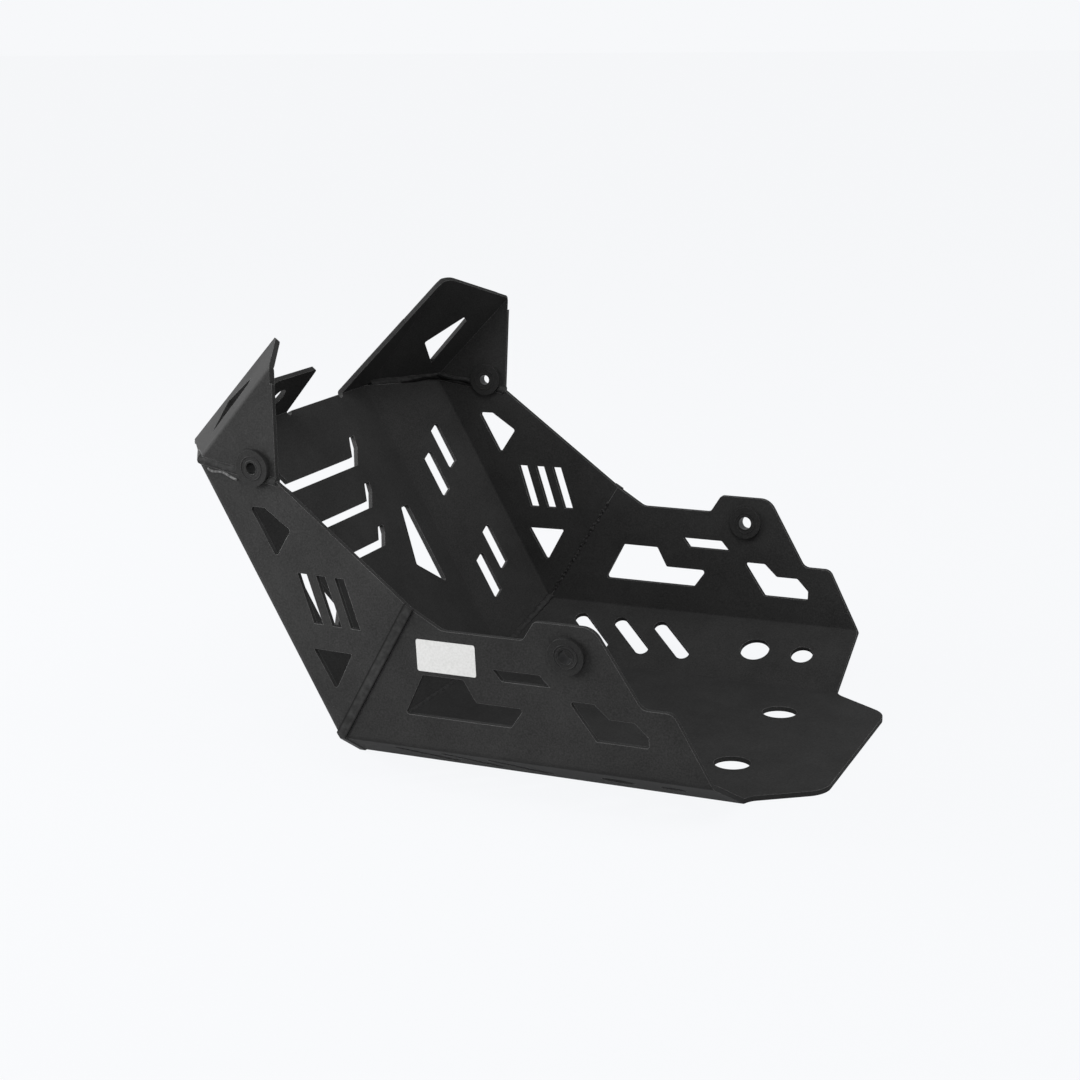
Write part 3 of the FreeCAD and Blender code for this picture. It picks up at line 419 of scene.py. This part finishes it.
# The sticker: a small blank label of silvered paper with a paler margin. It is cut with rounded
# corners and pressed on the outside of the left wall.
label_front = mitre_x + 0.0673
label_low = 0.0733
label_length = 0.0347
label_rise = 0.0184
label_corner = 0.0012
label_thick = 0.00012
label_gap = 0.00003
label_margin = 0.0007
corner_steps = 6
wall_up = Vector((0, -wall_slope, 1)).normalized()
wall_out = Vector((0, -1, -wall_slope)).normalized()
label_foot = Vector((label_front, -wall_half - (label_low - chamfer_rise) * wall_slope, label_low))
label = bmesh.new()


def label_ring(inset, rise):
    """Points round the label, an inset in from its edge and a rise off the wall."""
    radius = label_corner - inset
    ring = []
    for x, z, start in (
        (label_corner, label_corner, 180),
        (label_length - label_corner, label_corner, 270),
        (label_length - label_corner, label_rise - label_corner, 0),
        (label_corner, label_rise - label_corner, 90),
    ):
        for step in range(corner_steps + 1):
            turn = math.radians(start + 90 / corner_steps * step)
            along_wall = Vector((x + radius * math.cos(turn), 0, 0))
            up_wall = wall_up * (z + radius * math.sin(turn))
            ring.append(label.verts.new(label_foot + along_wall + up_wall + wall_out * rise))
    return ring


label_back = label_ring(0, label_gap)
label_rim = label_ring(0, label_gap + label_thick)
label_body = label_ring(label_margin, label_gap + label_thick)
label.faces.new(label_back)
label.faces.new(label_body)
for outer, inner, finish in ((label_back, label_rim, 0), (label_rim, label_body, 1)):
    for corner in range(len(outer)):
        around = (outer[corner], outer[corner - 1], inner[corner - 1], inner[corner])
        label.faces.new(around).material_index = finish
bmesh.ops.recalc_face_normals(label, faces=label.faces)

label_paper, paper_tree, paper_output = new_material("label_paper")
silvering = add_node(
    paper_tree, "ShaderNodeBsdfPrincipled", {"Roughness": 0.42, "Specular IOR Level": 0.4}
)
paper_place = add_node(paper_tree, "ShaderNodeTexCoord")
fibre = add_node(paper_tree, "ShaderNodeTexNoise", {"Scale": 900.0, "Detail": 3.0})
crease = add_node(
    paper_tree, "ShaderNodeTexNoise", {"Scale": 70.0, "Detail": 3.0, "Distortion": 1.2}
)
paper_tint = add_node(paper_tree, "ShaderNodeValToRGB")
paper_tint.color_ramp.elements[0].position = 0.3
paper_tint.color_ramp.elements[0].color = (0.43, 0.43, 0.425, 1)
paper_tint.color_ramp.elements[1].position = 0.62
paper_tint.color_ramp.elements[1].color = (0.49, 0.49, 0.485, 1)
wrinkle = add_node(paper_tree, "ShaderNodeBump", {"Strength": 0.4, "Distance": 0.0004})
paper_tree.links.new(paper_place.outputs["Object"], fibre.inputs["Vector"])
paper_tree.links.new(paper_place.outputs["Object"], crease.inputs["Vector"])
paper_tree.links.new(fibre.outputs["Fac"], paper_tint.inputs["Fac"])
paper_tree.links.new(paper_tint.outputs["Color"], silvering.inputs["Base Color"])
paper_tree.links.new(crease.outputs["Fac"], wrinkle.inputs["Height"])
paper_tree.links.new(wrinkle.outputs["Normal"], silvering.inputs["Normal"])
paper_tree.links.new(silvering.outputs["BSDF"], paper_output.inputs["Surface"])
margin_paper, margin_tree, margin_output = new_material("label_margin")
bare_paper = add_node(
    margin_tree, "ShaderNodeBsdfPrincipled", {"Base Color": (0.60, 0.60, 0.59, 1), "Roughness": 0.4}
)
margin_tree.links.new(bare_paper.outputs["BSDF"], margin_output.inputs["Surface"])
sticker = new_piece("blank_label", label, label_paper)
sticker.data.materials.append(margin_paper)
for face in sticker.data.polygons:
    face.use_smooth = False


# The setting: a plain pale floor and five soft panels, at the nose, the front left, high on the
# left, low at the left rear and high behind. The camera stands where the photograph was taken.
backdrop = (0.930, 0.939, 0.956)
floor_colour = (0.90, 0.909, 0.926)
floor_bounce = (0.5, 0.5, 0.5)
floor_glow = 0.978
floor_reach = 40.0
fill_strength = 0.3
floor_mesh = bpy.data.meshes.new("studio_floor")
floor_mesh.from_pydata(
    [(x * floor_reach, y * floor_reach, 0) for x, y in ((-1, -1), (1, -1), (1, 1), (-1, 1))],
    [],
    [(0, 1, 2, 3)],
)
floor = bpy.data.objects.new("studio_floor", floor_mesh)
bpy.context.scene.collection.objects.link(floor)


def seen_directly(tree):
    """Share of a ray that comes from the camera, a reflection or a clear material."""
    path = add_node(tree, "ShaderNodeLightPath")
    indirect = add_node(tree, "ShaderNodeMath", operation="MAXIMUM")
    either = add_node(tree, "ShaderNodeMath", operation="MAXIMUM")
    tree.links.new(path.outputs["Is Glossy Ray"], indirect.inputs[0])
    tree.links.new(path.outputs["Is Transmission Ray"], indirect.inputs[1])
    tree.links.new(path.outputs["Is Camera Ray"], either.inputs[0])
    tree.links.new(indirect.outputs["Value"], either.inputs[1])
    return either.outputs["Value"]


floor_paint, floor_tree, floor_output = new_material("studio_floor")
matte = add_node(floor_tree, "ShaderNodeBsdfDiffuse", {"Color": (*floor_colour, 1)})
glow = add_node(floor_tree, "ShaderNodeEmission", {"Color": (*backdrop, 1), "Strength": 1.0})
paled = add_node(floor_tree, "ShaderNodeMixShader", {"Fac": floor_glow})
floor_tree.links.new(matte.outputs["BSDF"], paled.inputs[1])
floor_tree.links.new(glow.outputs["Emission"], paled.inputs[2])
bounce = add_node(floor_tree, "ShaderNodeBsdfDiffuse", {"Color": (*floor_bounce, 1)})
floor_blend = add_node(floor_tree, "ShaderNodeMixShader")
floor_tree.links.new(seen_directly(floor_tree), floor_blend.inputs["Fac"])
floor_tree.links.new(bounce.outputs["BSDF"], floor_blend.inputs[1])
floor_tree.links.new(paled.outputs["Shader"], floor_blend.inputs[2])
floor_tree.links.new(floor_blend.outputs["Shader"], floor_output.inputs["Surface"])
floor_mesh.materials.append(floor_paint)

world = bpy.data.worlds.new("studio")
bpy.context.scene.world = world
world.use_nodes = True
sky_tree = world.node_tree
sky_tree.nodes.clear()
fill = add_node(
    sky_tree, "ShaderNodeBackground", {"Color": (1, 1, 1, 1), "Strength": fill_strength}
)
screen = add_node(sky_tree, "ShaderNodeBackground", {"Color": (*backdrop, 1), "Strength": 1.0})
sky_blend = add_node(sky_tree, "ShaderNodeMixShader")
sky_output = add_node(sky_tree, "ShaderNodeOutputWorld")
sky_tree.links.new(seen_directly(sky_tree), sky_blend.inputs["Fac"])
sky_tree.links.new(fill.outputs["Background"], sky_blend.inputs[1])
sky_tree.links.new(screen.outputs["Background"], sky_blend.inputs[2])
sky_tree.links.new(sky_blend.outputs["Shader"], sky_output.inputs["Surface"])

lamp_aim = Vector((0, 0, 0.1))
for name, place, watts, width in (
    ("side_panel", (-1.0, -0.75, 0.45), 19.0, 0.7),
    ("high_panel", (0.3, -0.9, 1.8), 19.5, 1.0),
    ("low_panel", (1.1, -1.4, 0.4), 6.5, 0.8),
    ("rear_panel", (1.2, 0.1, 1.6), 14.5, 0.8),
    ("nose_panel", (-1.7, -0.2, 0.6), 45.0, 0.8),
):
    panel_light = bpy.data.lights.new(name, "AREA")
    panel_light.energy = watts
    panel_light.size = width
    panel = bpy.data.objects.new(name, panel_light)
    panel.location = place
    panel.rotation_euler = (lamp_aim - Vector(place)).to_track_quat("-Z", "Y").to_euler()
    bpy.context.scene.collection.objects.link(panel)

camera_data = bpy.data.cameras.new("camera")
camera_data.sensor_width = 36.0
camera_data.lens = 66.61
camera_data.clip_end = 200.0
camera = bpy.data.objects.new("camera", camera_data)
camera.location = (0.44676, -1.07150, 0.40516)
camera.rotation_euler = Euler([math.radians(turn) for turn in (75.786, 0.514, 23.106)], "XYZ")
bpy.context.scene.collection.objects.link(camera)
bpy.context.scene.camera = camera
bpy.context.scene.view_settings.view_transform = "Standard"
